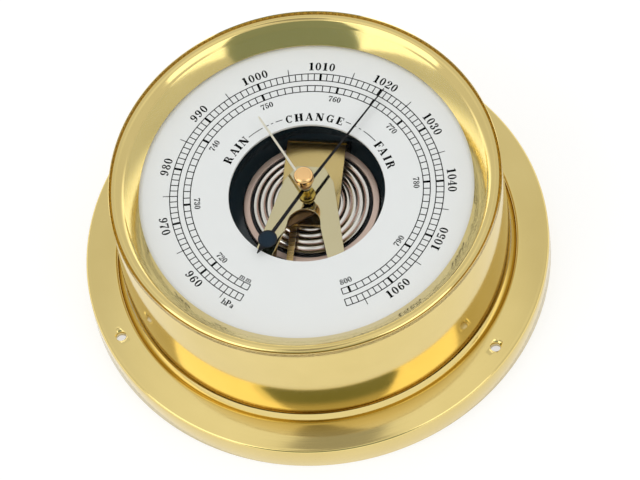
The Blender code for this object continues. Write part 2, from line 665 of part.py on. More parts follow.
def main():
    for old in list(bpy.data.objects):
        bpy.data.objects.remove(old)
    brass = material("brass", (0.78, 0.57, 0.18), 0.12, 1.0)
    champagne = material("champagne_nickel", (0.76, 0.66, 0.46), 0.22, 1.0)
    gold = material("spring_gold", (0.80, 0.60, 0.26), 0.28, 1.0)
    copper = material("copper", (0.80, 0.46, 0.34), 0.25, 1.0)
    silver = material("silver", (0.72, 0.70, 0.66), 0.25, 1.0)
    steel = material("steel", (0.55, 0.55, 0.56), 0.3, 1.0)
    blued = material("blued_steel", (0.03, 0.06, 0.12), 0.25, 1.0)
    white = material("dial_white", (0.80, 0.80, 0.79), 0.6, 0.0)
    black = material("black_plastic", (0.012, 0.016, 0.02), 0.35, 0.0)
    lacquer = material("black_lacquer", (0.02, 0.02, 0.022), 0.4, 0.0)
    glass = material("glass", (0.85, 0.90, 0.90), 0.02, 0.0)
    make_flange(brass)
    make_drum(brass)
    make_bezel(brass)
    make_sight_ring(brass)
    make_crystal(glass)
    make_dial(white, lacquer)
    make_back(brass, steel)
    make_base(lacquer, brass)
    make_top_plate(champagne, brass, steel)
    make_brackets(brass, gold, steel)
    make_surround(black)
    make_cocks(brass, steel)
    make_capsule(copper, silver, steel)
    make_spring(gold, brass)
    make_rocker(steel)
    make_pinion(brass)
    make_sector(brass, steel)
    make_hairspring(steel, brass)
    make_pointer(blued, brass, steel)
    make_set_hand(gold, copper)


main()
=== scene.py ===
"""Looks of the brass aneroid barometer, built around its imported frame.

Profiles and outlines are in millimetres and become metres when a mesh is made.
"""
import json
import math

import bmesh
import bpy
from mathutils import Matrix, Vector


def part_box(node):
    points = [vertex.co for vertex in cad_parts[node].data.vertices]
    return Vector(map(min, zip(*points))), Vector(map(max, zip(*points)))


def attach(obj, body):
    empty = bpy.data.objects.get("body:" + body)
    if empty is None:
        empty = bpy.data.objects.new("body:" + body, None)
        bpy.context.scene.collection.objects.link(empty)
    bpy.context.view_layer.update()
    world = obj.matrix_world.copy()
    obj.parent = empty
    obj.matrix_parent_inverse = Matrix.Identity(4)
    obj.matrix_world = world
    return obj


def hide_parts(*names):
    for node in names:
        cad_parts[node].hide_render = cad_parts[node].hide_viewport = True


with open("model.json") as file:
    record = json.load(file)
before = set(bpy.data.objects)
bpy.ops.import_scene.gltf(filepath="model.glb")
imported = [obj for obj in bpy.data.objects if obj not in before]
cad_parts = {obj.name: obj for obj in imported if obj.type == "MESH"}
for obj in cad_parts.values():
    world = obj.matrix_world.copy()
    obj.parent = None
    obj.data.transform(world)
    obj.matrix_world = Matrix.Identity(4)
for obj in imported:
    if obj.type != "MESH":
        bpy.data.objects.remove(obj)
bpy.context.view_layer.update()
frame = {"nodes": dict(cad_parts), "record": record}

MM = 0.001

# The camera looks down at the dial from the front, with a long lens: degrees and metres
CAMERA_ELEVATION = 59.96
CAMERA_AZIMUTH = 15.22
CAMERA_ROLL = -10.65
CAMERA_DISTANCE = 3.0785
CAMERA_OFFSET = (0.004246, -0.015132)
CAMERA_REACH = 50.0
CAMERA_LENS = 542.4            # focal length and sensor width in millimetres
CAMERA_SENSOR = 36.0

# The studio: places in metres, directions from the object, angles in degrees
SOFT_BOXES = {                 # place, size and power
    "left_box": ((-1.19, -1.08, 1.5), 1.5, 8.5),
    "right_box": ((1.34, -0.77, 1.56), 1.1, 4.6),
}
FLOOR_HALF = 6.0
FLOOR_GLOW = 0.66
SKY_STRENGTH = 0.81
HORIZON_GLOW = 1.0             # added near the horizon, fading between two heights of the view
HORIZON_FADE = (0.05, 0.22)
ZENITH_DIRECTION = (-0.05, 0.05, 1.0)
ZENITH_GLOW = 0.25
ZENITH_ANGLES = (32.0, 12.0)   # outer and inner angle of a cone's soft edge
CARD_DIRECTION = (0.10, -0.86, 0.50)
CARD_COLOUR = (0.38, 0.46, 0.42)
CARD_ANGLES = (31.5, 30.0)
CARD_FOOT = (0.20, 0.24)       # heights of the view between which the card's ends fade
CARD_HEAD = (0.73, 0.77)
OVAL_DEPTH = 0.62              # taken from the strength overhead
OVAL_SQUEEZE = (10.0, 3.4, 0.0)
OVAL_SHIFT = (0.5, 0.2, 0.0)
OVAL_EDGE = (0.92, 1.05)
OVAL_FOOT = (0.5, 0.6)
WHITE = (1.0, 1.0, 1.0)

ROUND = 192                    # segments of the case's rings
MEDIUM = 96                    # segments of the capsule and the small discs
FINE = 32                      # segments of screws and pins

# Dial scale: degrees of pointer travel for one hectopascal, which stands upright at 1010
DEGREES_PER_HPA = 2.71
UPRIGHT_HPA = 1010.0
HPA_PER_MM = 1.333224

# Each scale: its cells and their band's radii, its numbers, those that stand upright, and their sizes
HPA_SCALE = {"cells": (952, 1068), "band": (41.5, 44.0), "numbers": (960, 1060),
             "upright": (980, 1040), "radius": 46.7, "height": 2.85, "advance": 2.25}
MM_SCALE = {"cells": (714, 801), "band": (37.4, 39.6), "numbers": (720, 800),
            "upright": (740, 780), "radius": 35.2, "height": 1.95, "advance": 1.36}
BAND_LINE = 0.30               # widths of a band's lines, the tick at each ten, the tick at each five
TEN_LINE = 0.75
FIVE_LINE = 0.24
FIVE_LENGTH = 2.2
UNITS_CLOCK = 206.5            # where the units are printed

# The weather words, with the radius and the clock angles of their letters, and the dashes between them
WORDS = {"RAIN": (28.5, (-67.8, -61.0, -56.4, -51.2)),
         "CHANGE": (28.0, (-17.6, -11.2, -4.3, 2.7, 9.8, 16.6)),
         "FAIR": (28.3, (49.0, 54.5, 60.3, 66.0))}
WORD_HEIGHT = 2.8
DASHES = ((-47.0, -36.1), (-33.1, -31.6), (-29.9, -28.3), (-26.6, -22.0),
          (20.3, 24.1), (26.7, 28.1), (30.3, 31.9), (34.2, 45.1))
DASH_RADIUS = 28.4
DASH_LINE = 0.25
INK = 0.03                     # height of the printed ink


def low(node):
    """A node's lowest corner at rest, in millimetres."""
    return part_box(node)[0] / MM


def high(node):
    """A node's highest corner at rest, in millimetres."""
    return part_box(node)[1] / MM


def clock_point(radius, clock):
    """The (x, y) at a radius and a clock angle: degrees clockwise from 12 o'clock."""
    angle = math.radians(clock)
    return radius * math.sin(angle), radius * math.cos(angle)


DIAL_TOP = high("dial_plate").z
FLANGE_TOP = high("mounting_flange").z
FLANGE_RADIUS = high("mounting_flange").x
DRUM_RADIUS = high("case_drum").x
DRUM_TOP = high("case_drum").z
BEZEL_TOP = high("bezel_ring").z
CAPSULE_Y = (low("capsule_rim").y + high("capsule_rim").y) / 2.0

# The case
HOLE_CIRCLE = 69.8             # the flange's holes
HOLE_RADIUS = 1.7
HOLE_CLOCKS = (-1.2, 118.8, 238.8)
BEAD = 2.1                     # radius of the bezel's rolled bead
LINE_HEIGHT = 52.45            # height and depth of the line round the bezel
LINE_DEPTH = 0.15
SEAM = 50.85                   # height of the joint between the sight cone and the bezel
CONE_FOOT = 46.5               # the sight cone's lower end
CONE_FOOT_RADIUS = 53.8
DIAL_EDGE = 60.9
DIAL_OPENING = 25.15
COVER_SCREWS = (58.7, (60.0, 180.0, 300.0))      # radius and clock angles of the back cover's holes
MOVEMENT_SCREWS = (40.0, (30.0, 150.0, 270.0))
SCREW_HOLE = 1.2
ADJUSTER_HOLE = 3.3
VENT_Y = -25.0                 # the back cover's vent
VENT_RADIUS = 4.0
SHANK_RADIUS = 0.9             # the screws under the case
SLOT_HALF = 0.22
SLOT_DEPTH = 0.45

# The hands, with places along them from the axis
POINTER_CLOCK = 28.85
POINTER_TIP = 43.8
POINTER_TAIL = -27.4
POINTER_THICK = 0.3
HUB_RADIUS = 1.7
DISC_PLACE = -21.5
DISC_RADIUS = 3.1
SET_HAND_CLOCK = 324.3
SET_HAND_TIP = 30.5
SET_HAND_THICK = 0.35
SET_HUB_RADIUS = 2.2

# The capsule
RINGS = 6.0                    # rings of its sheet, between two radii
RINGS_OUTER = 18.5
RINGS_INNER = 5.0
SHEET_BASE = 31.2              # height that the sheet's rise is counted from
SHEET_THICK = 0.5
RIM_INNER = 19.85
RIM_OUTER = 21.9

# CAD nodes in the dark below the top plate, whose brass is darkened as painted shade
PAINTED_SHADE_NODES = ("sector_gear", "pinion", "staff_cock", "arbor_cock")

CLOUD_SCALE = 45.0             # noise scale of a metal's cloudy tone
BUMP = 0.5                     # strength of every bump


# Materials

class Graph:
    """Short calls for making and linking nodes in a tree."""

    def __init__(self, tree, coordinates):
        self.tree = tree
        self.place = self.add("ShaderNodeTexCoord").outputs[coordinates]

    def add(self, kind, **settings):
        node = self.tree.nodes.new(kind)
        for key, value in settings.items():
            setattr(node, key, value)
        return node

    def feed(self, socket, value):
        """Link an output to a socket, or set the socket's own value."""
        if isinstance(value, bpy.types.NodeSocket):
            self.tree.links.new(value, socket)
        else:
            socket.default_value = value

    def feed_all(self, node, values):
        """Feed a node's inputs in their order."""
        for socket, value in zip(node.inputs, values):
            self.feed(socket, value)

    def maths(self, operation, *values):
        """Maths on numbers."""
        node = self.add("ShaderNodeMath", operation=operation)
        self.feed_all(node, values)
        return node.outputs[0]

    def vector(self, operation, *values):
        """Vector maths, which gives a number for a length, a distance and a dot product."""
        node = self.add("ShaderNodeVectorMath", operation=operation)
        self.feed_all(node, values)
        return node.outputs["Value" if operation in ("LENGTH", "DISTANCE", "DOT_PRODUCT") else "Vector"]

    def noise(self, vector, scale, detail=3.0):
        node = self.add("ShaderNodeTexNoise")
        self.feed(node.inputs["Vector"], vector)
        node.inputs["Scale"].default_value = scale
        node.inputs["Detail"].default_value = detail
        return node.outputs["Fac"]

    def span(self, value, low_out, high_out, low_in=0.3, high_in=0.7, curve="LINEAR"):
        """Map a value between two numbers to the span between two others."""
        node = self.add("ShaderNodeMapRange", interpolation_type=curve)
        self.feed(node.inputs["Value"], value)
        node.inputs["From Min"].default_value = low_in
        node.inputs["From Max"].default_value = high_in
        node.inputs["To Min"].default_value = low_out
        node.inputs["To Max"].default_value = high_out
        return node.outputs["Result"]

    def blend(self, factor, first, second):
        """Mix two colours."""
        node = self.add("ShaderNodeMix", data_type="RGBA")
        self.feed(node.inputs["Factor"], factor)
        for socket, colour in ((node.inputs[6], first), (node.inputs[7], second)):
            self.feed(socket, (*colour, 1.0) if isinstance(colour, tuple) else colour)
        return node.outputs[2]

    def separate(self, vector):
        node = self.add("ShaderNodeSeparateXYZ")
        self.feed(node.inputs[0], vector)
        return node.outputs


class Nodes(Graph):
    """The nodes of a new material, or of one that is changed further."""

    def __init__(self, name, material=None):
        self.material = material or bpy.data.materials.new(name)
        self.material.use_nodes = True
        super().__init__(self.material.node_tree, "Object")
        self.shader = self.tree.nodes["Principled BSDF"]
        self.output = self.tree.nodes["Material Output"]

    def turned_place(self, centre):
        """Coordinates that only change across turning lines: the radius and the height."""
        flat = self.vector("SUBTRACT", self.place, (0.0, centre * MM, 0.0))
        flat = self.vector("MULTIPLY", flat, (1.0, 1.0, 0.0))
        joined = self.add("ShaderNodeCombineXYZ")
        self.feed(joined.inputs[0], self.vector("LENGTH", flat))
        self.feed(joined.inputs[1], self.separate(self.place)[2])
        return joined.outputs[0]

    def bump(self, height, distance):
        node = self.add("ShaderNodeBump")
        self.feed(node.inputs["Height"], height)
        node.inputs["Strength"].default_value = BUMP
        node.inputs["Distance"].default_value = distance * MM
        self.feed(self.shader.inputs["Normal"], node.outputs["Normal"])


def metal(name, light, dark, smooth, rough, lines, line_scale, line_height):
    """A metal with turning, brushing or casting lines, cloudy tone and cloudy gloss."""
    nodes = Nodes(name)
    nodes.shader.inputs["Metallic"].default_value = 1.0
    cloud = nodes.span(nodes.noise(nodes.place, CLOUD_SCALE), 0.0, 0.65)
    streak = nodes.noise(lines(nodes), line_scale, 4.0)
    tone = nodes.maths("MULTIPLY_ADD", streak, 0.35, cloud)
    nodes.feed(nodes.shader.inputs["Base Color"], nodes.blend(tone, light, dark))
    nodes.feed(nodes.shader.inputs["Roughness"], nodes.span(streak, smooth, rough))
    nodes.bump(streak, line_height)
    return nodes.material


def recolour(material, mask_of, second):
    """Blend a material's colour into a second one, by a mask made from its nodes."""
    nodes = Nodes(material.name, material)
    colour = nodes.shader.inputs["Base Color"]
    first = colour.links[0].from_socket
    nodes.feed(colour, nodes.blend(mask_of(nodes), first, second))
    return material


def ringed_silver():
    """Silvered sheet, with brown painted shade in the valleys between its rings."""
    material = metal("silvered_sheet", (0.86, 0.82, 0.76), (0.74, 0.70, 0.64),
                     0.14, 0.24, turned(CAPSULE_Y), 5000.0, 0.004)
    pitch = math.tau * RINGS / (RINGS_OUTER - RINGS_INNER)

    def valleys(nodes):
        radius = nodes.separate(nodes.turned_place(CAPSULE_Y))[0]
        wave = nodes.maths("COSINE", nodes.maths("MULTIPLY_ADD", radius, -pitch / MM, pitch * RINGS_OUTER))
        return nodes.span(wave, 0.85, 0.0, -0.9, -0.2)

    # The valleys between the rings are painted brown as shade.
    return recolour(material, valleys, (0.30, 0.15, 0.10))


def satin_copper():
    """Dull copper, half metallic so that it scatters light as a rough skin does."""
    material = metal("rim_copper", (0.88, 0.68, 0.58), (0.80, 0.58, 0.48),
                     0.32, 0.42, turned(CAPSULE_Y), 4000.0, 0.004)
    Nodes(material.name, material).shader.inputs["Metallic"].default_value = 0.5
    return material


def blade_and_disc():
    """Charcoal blade whose counterweight disc is blued."""
    material = metal("charcoal_steel", (0.024, 0.040, 0.060), (0.014, 0.026, 0.040),
                     0.30, 0.42, cast(), 5000.0, 0.003)
    x, y = clock_point(DISC_PLACE, POINTER_CLOCK)
    disc = (x * MM, y * MM, DIAL_TOP * MM)

    def blade(nodes):
        away = nodes.vector("DISTANCE", nodes.place, disc)
        return nodes.span(away, 0.0, 1.0, (DISC_RADIUS + 0.3) * MM, (DISC_RADIUS + 0.8) * MM)

    return recolour(material, blade, (0.022, 0.021, 0.022))


def turned(centre=0.0):
    """Turning lines round an axis at a place along Y."""
    return lambda nodes: nodes.turned_place(centre)


def brushed(along):
    """Lines along X or Y: the noise is squeezed along them."""
    squeeze = {"X": (0.02, 1.0, 1.0), "Y": (1.0, 0.02, 1.0)}[along]
    return lambda nodes: nodes.vector("MULTIPLY", nodes.place, squeeze)


def cast():
    """No lines, only grain."""
    return lambda nodes: nodes.place


def plain(name, light, dark, smooth, rough, scale, height, gloss=0.5):
    """Paint, lacquer or plastic with a fine skin and a cloudy tone."""
    nodes = Nodes(name)
    skin = nodes.noise(nodes.place, scale, 4.0)
    cloud = nodes.noise(nodes.place, scale * 0.05)
    nodes.feed(nodes.shader.inputs["Base Color"], nodes.blend(cloud, light, dark))
    nodes.feed(nodes.shader.inputs["Roughness"], nodes.span(skin, smooth, rough))
    nodes.shader.inputs["Specular IOR Level"].default_value = gloss
    nodes.bump(skin, height)
    return nodes.material


def clear_glass():
    """Coated glass: see-through, with a faint reflection that grows towards grazing views."""
    nodes = Nodes("clear_glass")
    nodes.tree.nodes.remove(nodes.shader)
    clear = nodes.add("ShaderNodeBsdfTransparent")
    clear.inputs["Color"].default_value = (0.985, 0.99, 0.988, 1.0)
    gloss = nodes.add("ShaderNodeBsdfGlossy")
    smear = nodes.noise(nodes.place, 60.0)
    nodes.feed(gloss.inputs["Roughness"], nodes.span(smear, 0.0, 0.03))
    edge = nodes.add("ShaderNodeLayerWeight")
    edge.inputs["Blend"].default_value = 0.5
    steep = nodes.maths("POWER", edge.outputs["Facing"], 5.0)
    share = nodes.maths("MULTIPLY_ADD", steep, 0.10, 0.003)
    mix = nodes.add("ShaderNodeMixShader")
    nodes.feed_all(mix, (share, clear.outputs[0], gloss.outputs[0]))
    nodes.feed(nodes.output.inputs["Surface"], mix.outputs[0])
    return nodes.material


def make_looks():
    """One material for each of the record's material slots."""
    return {
        "polished_brass": metal("polished_brass", (0.765, 0.61, 0.25), (0.70, 0.55, 0.21),
                                0.07, 0.13, turned(), 2500.0, 0.002),
        "movement_brass": metal("movement_brass", (0.72, 0.52, 0.22), (0.58, 0.40, 0.15),
                                0.22, 0.34, brushed("X"), 6000.0, 0.006),
        "champagne_nickel": metal("champagne_nickel", (0.64, 0.57, 0.36), (0.60, 0.52, 0.31),
                                  0.05, 0.09, brushed("Y"), 5000.0, 0.001),
        "spring_gold": metal("spring_gold", (0.66, 0.51, 0.22), (0.54, 0.40, 0.15),
                             0.16, 0.26, brushed("Y"), 6000.0, 0.005),
        "rim_copper": satin_copper(),
        "knob_copper": metal("knob_copper", (0.94, 0.62, 0.30), (0.84, 0.50, 0.20),
                             0.12, 0.22, turned(), 6000.0, 0.004),
        "silvered_sheet": ringed_silver(),
        "bright_steel": metal("bright_steel", (0.60, 0.60, 0.61), (0.44, 0.44, 0.45),
                              0.18, 0.32, cast(), 5000.0, 0.004),
        "blued_steel": metal("blued_steel", (0.024, 0.040, 0.066), (0.014, 0.024, 0.042),
                             0.14, 0.24, brushed("X"), 6000.0, 0.003),
        "dial_white": plain("dial_white", (0.88, 0.88, 0.88), (0.85, 0.85, 0.85),
                            0.45, 0.60, 3000.0, 0.002, gloss=0.2),
        "black_lacquer": plain("black_lacquer", (0.012, 0.012, 0.013), (0.006, 0.006, 0.007),
                               0.30, 0.45, 3000.0, 0.004, gloss=0.2),
        # Its bluish tint is partly the plastic's own colour and partly a painted teal sheen
        "black_plastic": plain("black_plastic", (0.012, 0.027, 0.036), (0.007, 0.017, 0.024),
                               0.10, 0.20, 1800.0, 0.004, gloss=0.5),
        "clear_glass": clear_glass(),
    }


looks = make_looks()


# Shapes

def arc(centre, radius, start, end, steps=12):
    """Points along an arc, angles in degrees anticlockwise from +X, both ends included."""
    points = []
    for step in range(steps + 1):
        angle = math.radians(start + (end - start) * step / steps)
        points.append((centre[0] + radius * math.cos(angle), centre[1] + radius * math.sin(angle)))
    return points


def rounded(corners, steps=5):
    """A closed outline whose corners, each (x, y, radius), are rounded off."""
    outline = []
    count = len(corners)
    for index, (x, y, radius) in enumerate(corners):
        corner = Vector((x, y))
        if radius == 0.0:
            outline.append((x, y))
            continue
        before = (Vector(corners[index - 1][:2]) - corner).normalized()
        after = (Vector(corners[(index + 1) % count][:2]) - corner).normalized()
        half = before.angle(after) / 2.0
        centre = corner + (before + after).normalized() * (radius / math.sin(half))
        spoke = corner + before * (radius / math.tan(half)) - centre
        last = corner + after * (radius / math.tan(half)) - centre
        sweep = -spoke.angle_signed(last)
        for step in range(steps + 1):
            point = centre + Matrix.Rotation(sweep * step / steps, 2) @ spoke
            outline.append((point.x, point.y))
    return outline


def spin(profile, segments=ROUND, centre=(0.0, 0.0)):
    """A mesh turned from a closed (radius, height) profile; radius 0 is on the axis."""
    mesh = bmesh.new()
    rings = []
    for radius, height in profile:
        count = segments if radius > 1e-6 else 1
        ring = []
        for step in range(count):
            angle = math.tau * step / segments
            x = centre[0] + radius * math.cos(angle)
            y = centre[1] + radius * math.sin(angle)
            ring.append(mesh.verts.new(Vector((x, y, height)) * MM))
        rings.append(ring)
    for first, second in zip(rings, rings[1:] + rings[:1]):
        for step in range(segments):
            after = (step + 1) % segments
            corners = [first[step % len(first)], first[after % len(first)],
                       second[after % len(second)], second[step % len(second)]]
            corners = list(dict.fromkeys(corners))
            if len(corners) > 2:
                mesh.faces.new(corners)
    return mesh


def slab(outline, low_end, high_end, axis="Z"):
    """A mesh extruded from an outline; its points are (x, y), or (y, z) when the axis is X."""
    mesh = bmesh.new()
    ends = []
    for along in (low_end, high_end):
        if axis == "X":
            ends.append([mesh.verts.new(Vector((along, a, b)) * MM) for a, b in outline])
        else:
            ends.append([mesh.verts.new(Vector((a, b, along)) * MM) for a, b in outline])
    bottom, top = ends
    mesh.faces.new(bottom)
    mesh.faces.new(top)
    for step in range(len(outline)):
        after = (step + 1) % len(outline)
        mesh.faces.new([bottom[step], bottom[after], top[after], top[step]])
    return mesh


def to_object(name, mesh, sharp):
    """Link a mesh as a smooth object with sharp edges above an angle."""
    bmesh.ops.recalc_face_normals(mesh, faces=mesh.faces)
    data = bpy.data.meshes.new(name)
    mesh.to_mesh(data)
    mesh.free()
    data.shade_smooth()
    data.set_sharp_from_angle(angle=math.radians(sharp))
    made = bpy.data.objects.new(name, data)
    bpy.context.collection.objects.link(made)
    return made


def cut(target, tool):
    """Take a tool out of a piece, keep the result in the piece's mesh, and drop the tool."""
    modifier = target.modifiers.new("cut", "BOOLEAN")
    modifier.object = tool
    bpy.context.view_layer.update()
    graph = bpy.context.evaluated_depsgraph_get()
    target.data = bpy.data.meshes.new_from_object(target.evaluated_get(graph))
    target.modifiers.clear()
    bpy.data.objects.remove(tool)


def drill(target, spots, radius):
    """Cut round holes straight through a piece."""
    reach = 100.0
    profile = [(0.0, reach), (radius, reach), (radius, -reach), (0.0, -reach)]
    for spot in spots:
        cut(target, to_object("tool", spin(profile, FINE, spot), 30.0))


def piece(name, mesh, slot, body, *nodes, sharp=35.0, bevel=0.0, look=None):
    """Make a piece that takes its look from a slot, rides on a body and stands for CAD nodes."""
    made = to_object(name, mesh, sharp)
    if bevel:
        modifier = made.modifiers.new("bevel", "BEVEL")
        modifier.width = bevel * MM
        modifier.segments = 3
        modifier.limit_method = "ANGLE"
        modifier.harden_normals = True
    made.data.materials.append(look or looks[slot])
    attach(made, body)
    if nodes:
        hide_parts(*nodes)
    return made


# The case

def make_flange():
    """Crowned flange that falls to a rolled edge, swept up to the drum by a steep collar."""
    edge = FLANGE_RADIUS
    top = FLANGE_TOP
    inner = DRUM_RADIUS + 0.06
    wall = edge - 1.2
    start = 65.3
    wide = 8.7
    raised = top + 1.1
    fall = 0.10
    curve = 0.07
    bend = 1.1
    steps = 14
    crown = []
    for step in range(steps + 1):
        across = step / steps
        crown.append((start + wide * across, raised - wide * across * (fall + curve * across)))
    shoulder = crown[-1][1]
    under = shoulder - 1.8
    roll = arc((edge - bend, shoulder - 1.05), bend, 70.0, 0.0)
    skirt = [(edge, 0.4), (edge - 0.2, 0.0), (wall, 0.0), (wall, under)]
    hollow = [(65.2, under), (64.6, 6.0), (inner, 6.0)]
    collar = [(inner, top + 3.2), (inner + 1.45, top + 0.35), (inner + 1.55, top + 0.15)]
    groove = [(64.75, top + 0.15), (64.85, top + 0.95), (64.95, raised)]
    made = piece("flange", spin(crown + roll + skirt + hollow + collar + groove), "polished_brass", "case",
                 "mounting_flange", "flange_rim", sharp=60.0)
    drill(made, [clock_point(HOLE_CIRCLE, clock) for clock in HOLE_CLOCKS], HOLE_RADIUS)


def make_drum():
    """Drum wall with eased ends."""
    inner = 61.5
    foot = low("case_drum").z
    corners = [(inner, foot, 0.2), (DRUM_RADIUS, foot, 0.2), (DRUM_RADIUS, DRUM_TOP, 0.03),
               (inner, DRUM_TOP, 0.2)]
    piece("drum", spin(rounded(corners)), "polished_brass", "case", "case_drum")


def cone_radius(height):
    """The sight cone's radius: it opens at 45 degrees from the dial to the bead."""
    return CONE_FOOT_RADIUS + height - CONE_FOOT


def make_bezel():
    """Rolled bead whose inside carries on the line of the sight cone."""
    bead = arc((DRUM_RADIUS - BEAD, BEZEL_TOP - BEAD), BEAD, 128.0, 0.0, 52)
    start = SEAM + 0.03
    base = DRUM_TOP + 0.05
    cone = [(cone_radius(height), height) for height in (start, SEAM + 0.4, SEAM + 0.7)]
    line = [(DRUM_RADIUS, LINE_HEIGHT + LINE_DEPTH), (DRUM_RADIUS - LINE_DEPTH, LINE_HEIGHT),
            (DRUM_RADIUS, LINE_HEIGHT - LINE_DEPTH)]
    foot = [(DRUM_RADIUS, base), (61.2, base), (61.2, 49.0), (60.3, 49.0), (60.3, start)]
    piece("bezel", spin(cone + bead + line + foot), "polished_brass", "case", "bezel_ring", sharp=40.0)


def make_sight_ring():
    """Conical ring that rises from the dial's edge to the bezel."""
    foot = low("sight_ring").z
    corners = [(54.2, foot, 0.1), (60.0, foot, 0.1), (60.0, SEAM, 0.1), (cone_radius(SEAM), SEAM, 0.02),
               (CONE_FOOT_RADIUS, CONE_FOOT, 0.1)]
    piece("sight_cone", spin(rounded(corners)), "polished_brass", "case", "sight_ring")


def make_crystal():
    """Domed glass, ground at its edge to sit in the cone, with a small hole for the set hand."""
    edge = low("crystal").z
    rise = 2.2
    thick = 1.5
    rim = cone_radius(edge) - 0.1
    radii = [1.3] + [rim * step / 20.0 for step in range(1, 21)]
    under = [(radius, edge + rise * (1.0 - (radius / rim) ** 2)) for radius in radii]
    top = [(radius, height + thick) for radius, height in reversed(under)]
    top[0] = (rim + 1.4, edge + 1.4)
    piece("glass", spin(under + top), "clear_glass", "case", "crystal", sharp=60.0)


def make_dial():
    """White dial plate whose edges are eased."""
    foot = low("dial_plate").z
    corners = [(DIAL_OPENING, foot, 0.1), (DIAL_EDGE, foot, 0.1), (DIAL_EDGE, DIAL_TOP, 0.1),
               (DIAL_OPENING, DIAL_TOP, 0.15)]
    piece("dial", spin(rounded(corners)), "dial_white", "case", "dial_plate")


def make_back():
    """Dished back cover with a raised rim, holes round its screws and a vent."""
    foot = low("back_cover").z
    top = high("back_cover").z
    dish = [(0.0, foot + 0.35), (52.0, foot + 0.35), (53.5, foot + 0.25), (54.5, foot)]
    rim = [(60.7, foot), (61.1, foot + 0.1), (61.2, foot + 0.4), (61.2, top), (0.0, top)]
    made = piece("back_plate", spin(dish + rim), "polished_brass", "case", "back_cover", sharp=40.0)
    for circle, clocks in (COVER_SCREWS, MOVEMENT_SCREWS):
        drill(made, [clock_point(circle, clock) for clock in clocks], SCREW_HOLE)
    drill(made, [(0.0, CAPSULE_Y)], ADJUSTER_HOLE)
    drill(made, [(0.0, VENT_Y)], VENT_RADIUS)


def make_screw(node):
    """Pan-head screw with a slot, in the place of a plain one under the case."""
    box_low = low(node)
    box_high = high(node)
    centre = ((box_low.x + box_high.x) / 2.0, (box_low.y + box_high.y) / 2.0)
    radius = (box_high.x - box_low.x) / 2.0
    foot = box_low.z
    tip = box_high.z
    head = [(0.0, foot), (radius * 0.6, foot + 0.02), (radius * 0.9, foot + 0.2),
            (radius, foot + 0.5), (radius, foot + 0.9), (SHANK_RADIUS, foot + 0.9)]
    shank = [(SHANK_RADIUS, tip - 0.2), (SHANK_RADIUS - 0.2, tip), (0.0, tip)]
    made = piece(f"slotted_{node}", spin(head + shank, FINE, centre), "bright_steel", "case", node)
    left = centre[0] - 3.0
    right = centre[0] + 3.0
    near = centre[1] - SLOT_HALF
    far = centre[1] + SLOT_HALF
    slot = [(left, near), (right, near), (right, far), (left, far)]
    cut(made, to_object("tool", slab(slot, foot - 1.0, foot + SLOT_DEPTH), 30.0))


# The movement that shows through the dial

def make_top_plate():
    """A-shaped plate with rounded corners and bevelled edges."""
    foot = low("top_plate").z
    top = high("top_plate").z
    outer = [(4.5, 10.5, 0.6), (8.0, 5.2, 1.5), (18.65, -38.8, 0.8)]
    inner = [(13.05, -38.8, 0.6), (9.0, -22.9, 0.0), (5.6, -12.0, 0.0)]
    right = outer + inner
    arch = [(x, y, 0.0) for x, y in arc((0.0, -10.4), 5.3, 0.0, 180.0, 32)]
    left = [(-x, y, radius) for x, y, radius in reversed(right)]
    outline = rounded(right + arch + left)
    piece("a_plate", slab(outline, foot, top), "champagne_nickel", "case", "top_plate", bevel=0.12)


def make_strap():
    """Mainspring leaf with a smooth bend at its back."""
    top = high("spring_bridge").z
    outer_y = high("spring_bridge").y
    half = high("spring_bridge").x
    end_y = low("spring_bridge").y
    foot = low("spring_bridge").z
    thick = 0.9
    bend = 6.2
    middle = (outer_y - bend, top - bend)
    outline = [(end_y, top - thick), (end_y, top)] + arc(middle, bend, 90.0, 0.0, 24)
    outline += [(outer_y, foot), (outer_y - thick, foot)] + arc(middle, bend - thick, 0.0, 90.0, 24)
    piece("mainspring_leaf", slab(outline, -half, half, "X"), "spring_gold", "mainspring",
          "spring_bridge", bevel=0.15)


def sheet_rise(radius):
    """Rise of the diaphragm's top over its base: rings on a slope, and a flat boss in the middle."""
    boss = 1.8
    edge = 0.9
    slope = 0.75
    ripple = 0.15
    if radius <= RINGS_INNER:
        return boss
    across = (RINGS_OUTER - radius) / (RINGS_OUTER - RINGS_INNER)
    return edge + slope * across + ripple * math.cos(math.tau * RINGS * across)


def make_diaphragm():
    """Ringed sheet on top of the capsule."""
    steps = 126
    radii = [RINGS_OUTER * step / steps for step in range(steps + 1)]
    top = [(radius, SHEET_BASE + sheet_rise(radius)) for radius in radii]
    under = [(RINGS_OUTER, SHEET_BASE - SHEET_THICK)]
    under += [(radius, height - SHEET_THICK) for radius, height in reversed(top)]
    piece("diaphragm", spin(top + under, MEDIUM, (0.0, CAPSULE_Y)), "silvered_sheet", "case",
          "capsule_upper", sharp=70.0)


def make_joint():
    """Black ring painted as the shade in the gap between the diaphragm and the copper rim."""
    corners = [(18.7, 31.3, 0.1), (18.7, 30.9, 0.1), (19.7, 30.9, 0.1), (19.7, 31.3, 0.1)]
    # A black ring that stands for the shade down in the gap
    piece("gap_shade_ring", spin(rounded(corners), MEDIUM, (0.0, CAPSULE_Y)), "black_lacquer", "case")


def make_copper_rim():
    """Copper rim of the capsule, with soft edges."""
    corners = [(RIM_INNER, 32.0, 0.15), (RIM_OUTER, 32.0, 0.3), (RIM_OUTER, 29.1, 0.3),
               (RIM_INNER, 29.1, 0.2)]
    piece("copper_rim", spin(rounded(corners), MEDIUM, (0.0, CAPSULE_Y)), "rim_copper", "case",
          "capsule_rim")


# The hands

